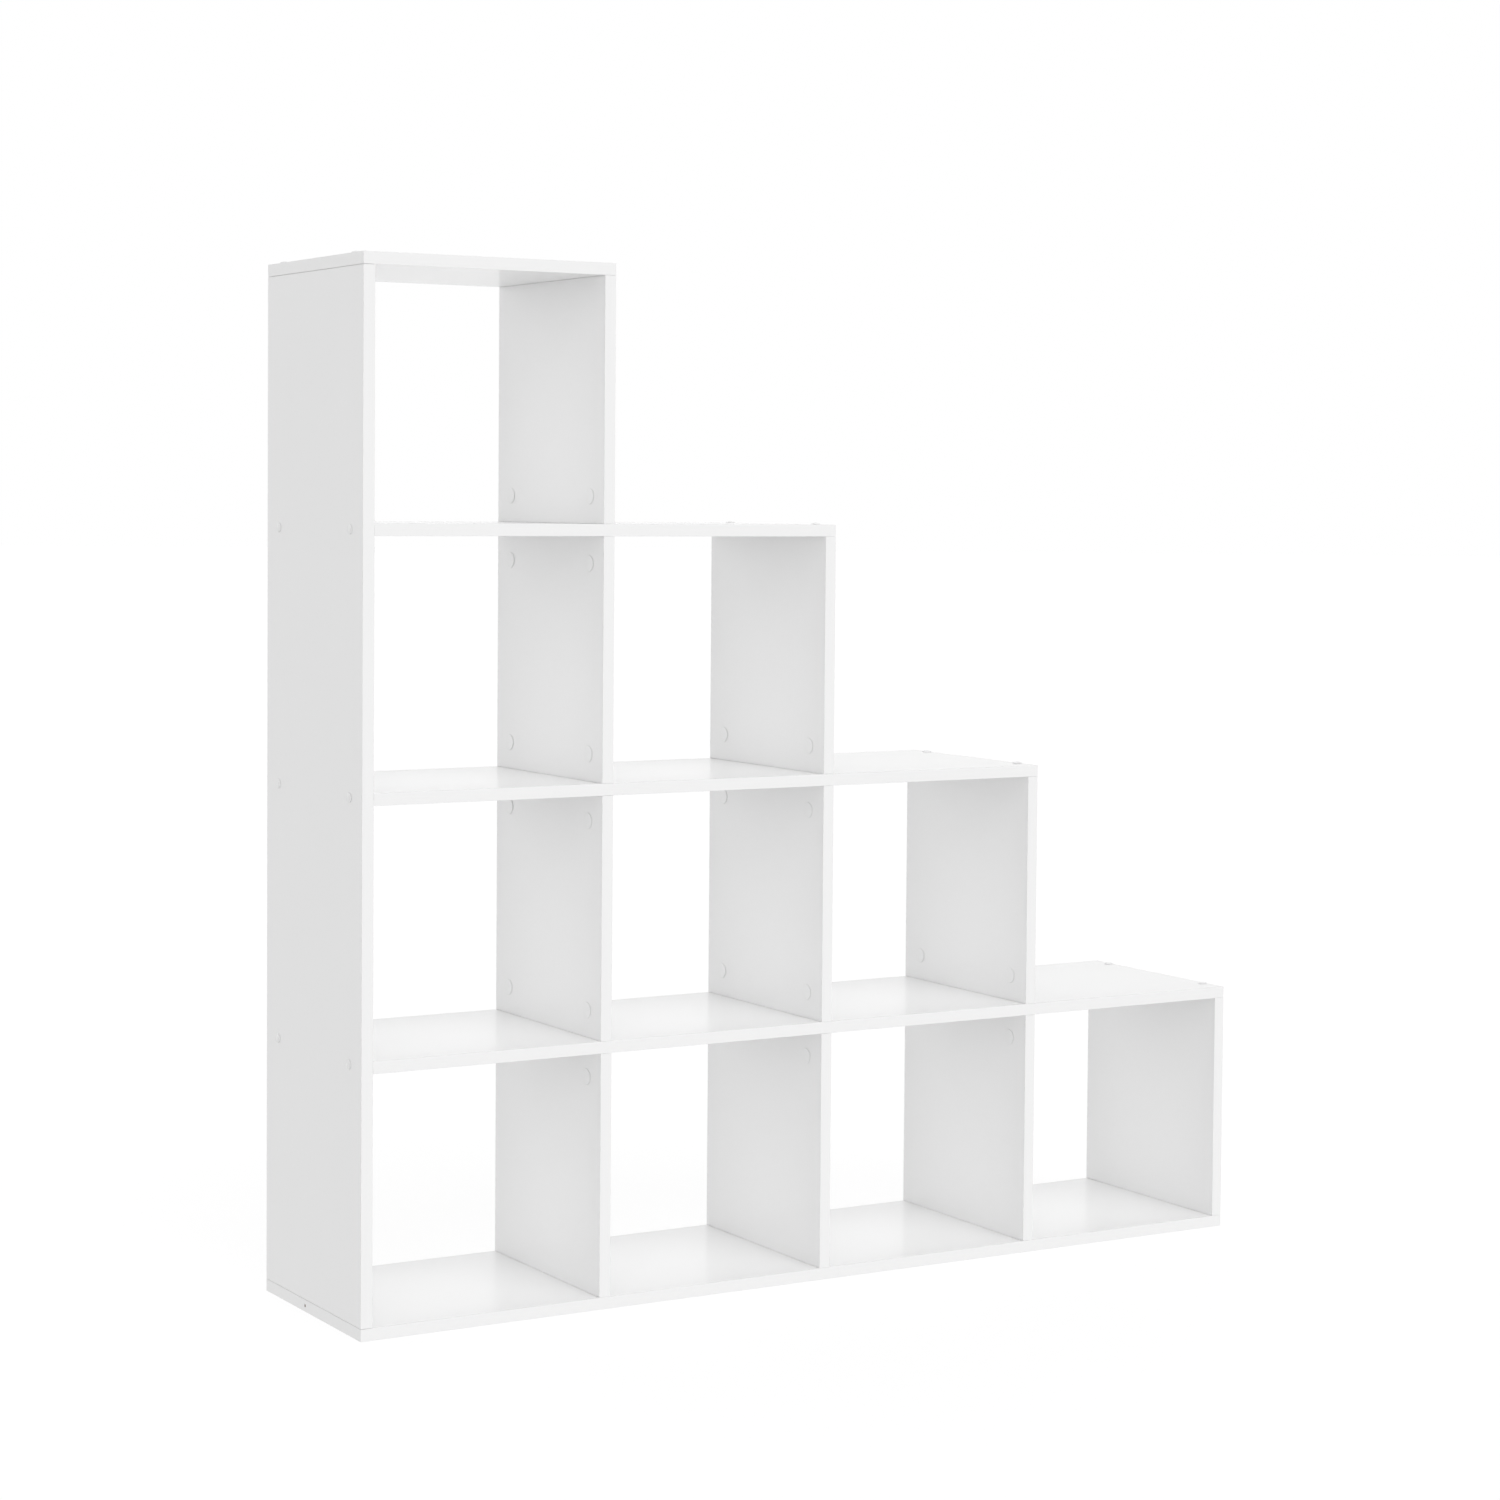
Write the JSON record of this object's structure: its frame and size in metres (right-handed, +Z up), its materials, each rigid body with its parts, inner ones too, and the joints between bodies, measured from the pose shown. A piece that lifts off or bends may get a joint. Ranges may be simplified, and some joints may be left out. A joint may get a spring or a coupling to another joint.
{
  "type": "staircase cube bookcase",
  "caption": "Free-standing staircase cube bookcase in white melamine board: open-backed cubes, tall on the left and stepping down to the right, with capped screws and cam-bolted uprights.",
  "frame": {"origin": "middle of the bottom board's underside, midway between its ends and its front and back edges", "axes": "+X to the right, from the tall side towards the lowest step; the front faces -Y; +Z up"},
  "size_m": [1.2975, 0.29, 1.2895],
  "materials": {
    "melamine_white": "satin",
    "cap_white": "satin",
    "zinc_steel": "satin"
  },
  "bodies": {
    "root": {"bottom_board": "melamine_white", "left_side_panel": "melamine_white", "top_board": "melamine_white", "shelf_over_row1": "melamine_white", "shelf_over_row2": "melamine_white", "shelf_over_row3": "melamine_white", "upright_row1_col1": "melamine_white", "upright_row1_col2": "melamine_white", "upright_row1_col3": "melamine_white", "upright_row1_col4": "melamine_white", "upright_row2_col1": "melamine_white", "upright_row2_col2": "melamine_white", "upright_row2_col3": "melamine_white", "upright_row3_col1": "melamine_white", "upright_row3_col2": "melamine_white", "upright_row4_col1": "melamine_white", "base_screw_side_front": "zinc_steel", "base_screw_side_back": "zinc_steel", "base_screw_col1_front": "zinc_steel", "base_screw_col1_back": "zinc_steel", "base_screw_col2_front": "zinc_steel", "base_screw_col2_back": "zinc_steel", "base_screw_col3_front": "zinc_steel", "base_screw_col3_back": "zinc_steel", "base_screw_col4_front": "zinc_steel", "base_screw_col4_back": "zinc_steel", "side_screw_row1_front": "cap_white", "side_screw_row1_back": "cap_white", "side_screw_row2_front": "cap_white", "side_screw_row2_back": "cap_white", "side_screw_row3_front": "cap_white", "side_screw_row3_back": "cap_white", "step_screw_row1_front": "cap_white", "step_screw_row1_back": "cap_white", "step_screw_row2_front": "cap_white", "step_screw_row2_back": "cap_white", "step_screw_row3_front": "cap_white", "step_screw_row3_back": "cap_white", "top_screw_left_front": "cap_white", "top_screw_left_back": "cap_white", "top_screw_right_front": "cap_white", "top_screw_right_back": "cap_white", "cam_fitting_row1_col1_front": "cap_white", "cam_fitting_row1_col1_back": "cap_white", "cam_fitting_row1_col2_front": "cap_white", "cam_fitting_row1_col2_back": "cap_white", "cam_fitting_row1_col3_front": "cap_white", "cam_fitting_row1_col3_back": "cap_white", "cam_fitting_row2_col1_front": "cap_white", "cam_fitting_row2_col1_back": "cap_white", "cam_fitting_row2_col2_front": "cap_white", "cam_fitting_row2_col2_back": "cap_white", "cam_fitting_row3_col1_front": "cap_white", "cam_fitting_row3_col1_back": "cap_white"}
  },
  "joints": []
}
